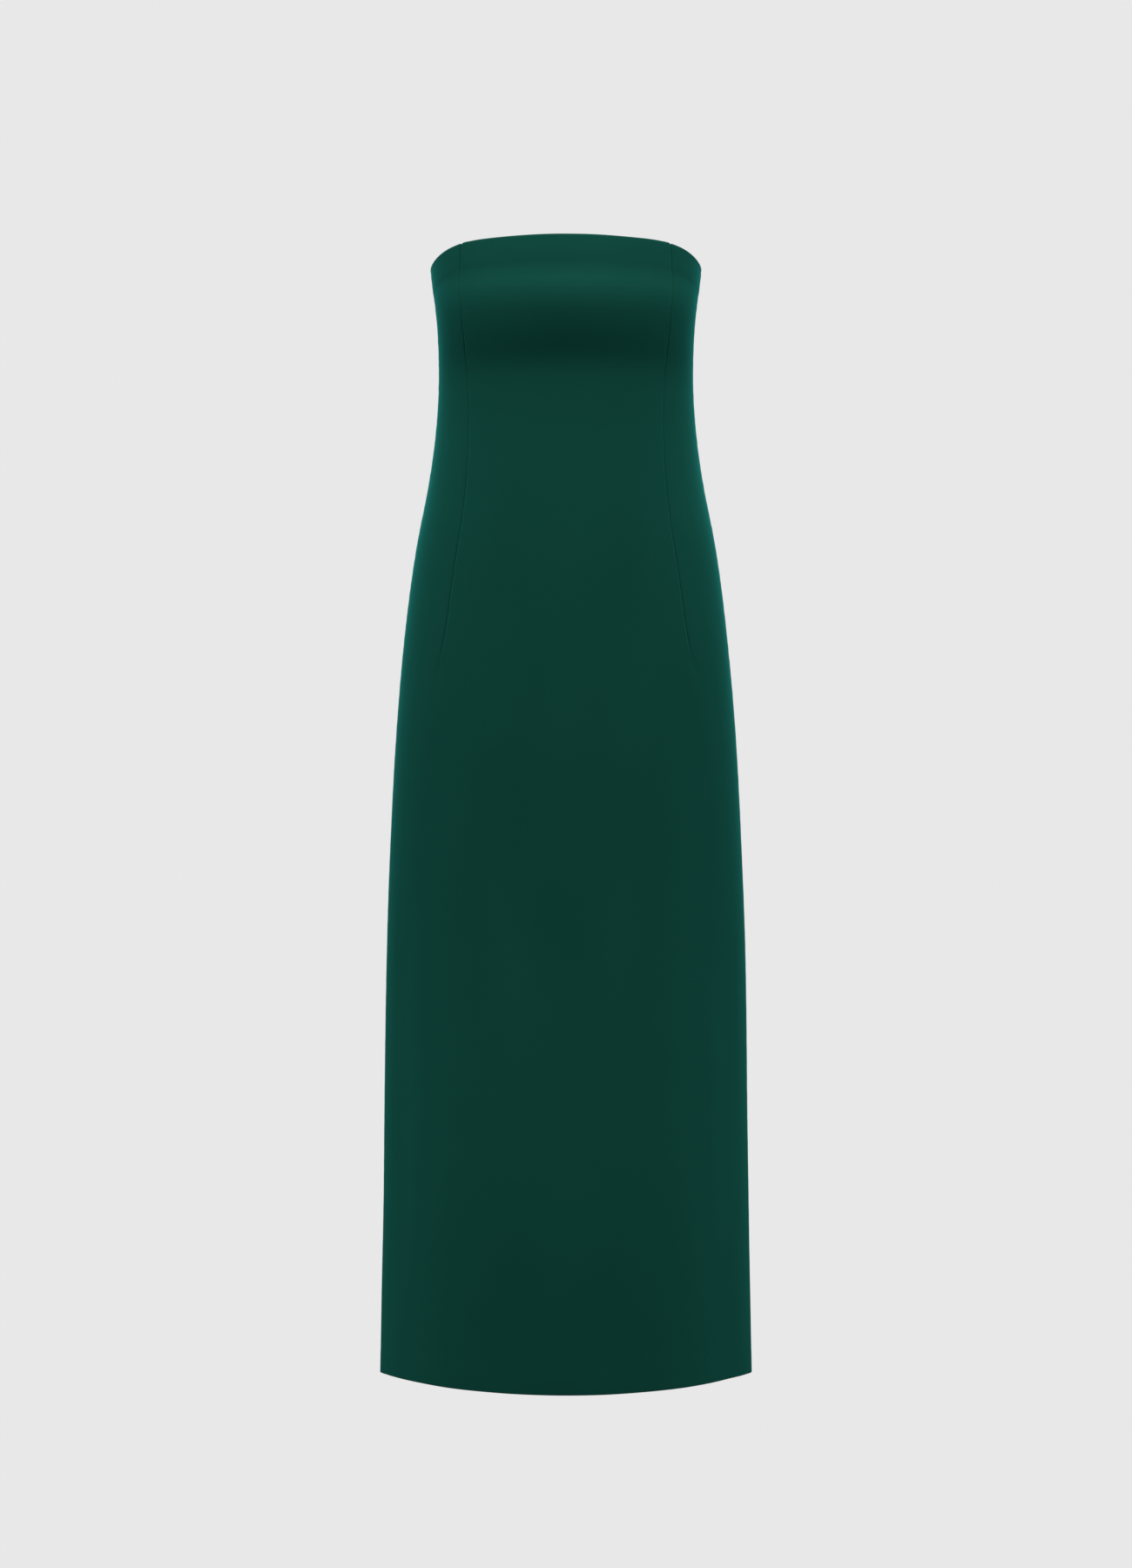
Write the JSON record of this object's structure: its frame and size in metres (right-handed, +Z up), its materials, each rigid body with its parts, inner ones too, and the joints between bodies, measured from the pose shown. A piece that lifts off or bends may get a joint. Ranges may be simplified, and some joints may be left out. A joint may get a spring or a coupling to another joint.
{
  "type": "strapless dress",
  "caption": "Strapless long column dress as a hollow worn form, with an arched top edge, long darts, a plain hem and a back zip.",
  "frame": {"origin": "on the body's axis at the bust line, where the bodice grips the wearer", "axes": "+Z up, the long way of the dress; -Y is the front of the dress; +X is the wearer's left"},
  "size_m": [0.4252, 0.24, 1.2811],
  "materials": {
    "dress_cloth": "smooth dull satin, dark green, with a soft teal sheen at the sides",
    "zip_tape": "fine woven tape, matt",
    "zip_metal": "smooth paint, dyed to match the cloth"
  },
  "bodies": {
    "dress": {"front": "dress_cloth", "back_left": "dress_cloth", "back_right": "dress_cloth", "zip_tape_left": "zip_tape", "zip_tape_right": "zip_tape", "zip_slider": "zip_metal"},
    "pull_tab": {"zip_pull": "zip_metal"}
  },
  "joints": [
    {"name": "pull_tab_swing", "type": "hinge", "parent": "dress", "child": "pull_tab", "pos_m": [0, 0.10492, 0.027], "axis": [1, 0, 0], "range_deg": [0, 165]}
  ]
}
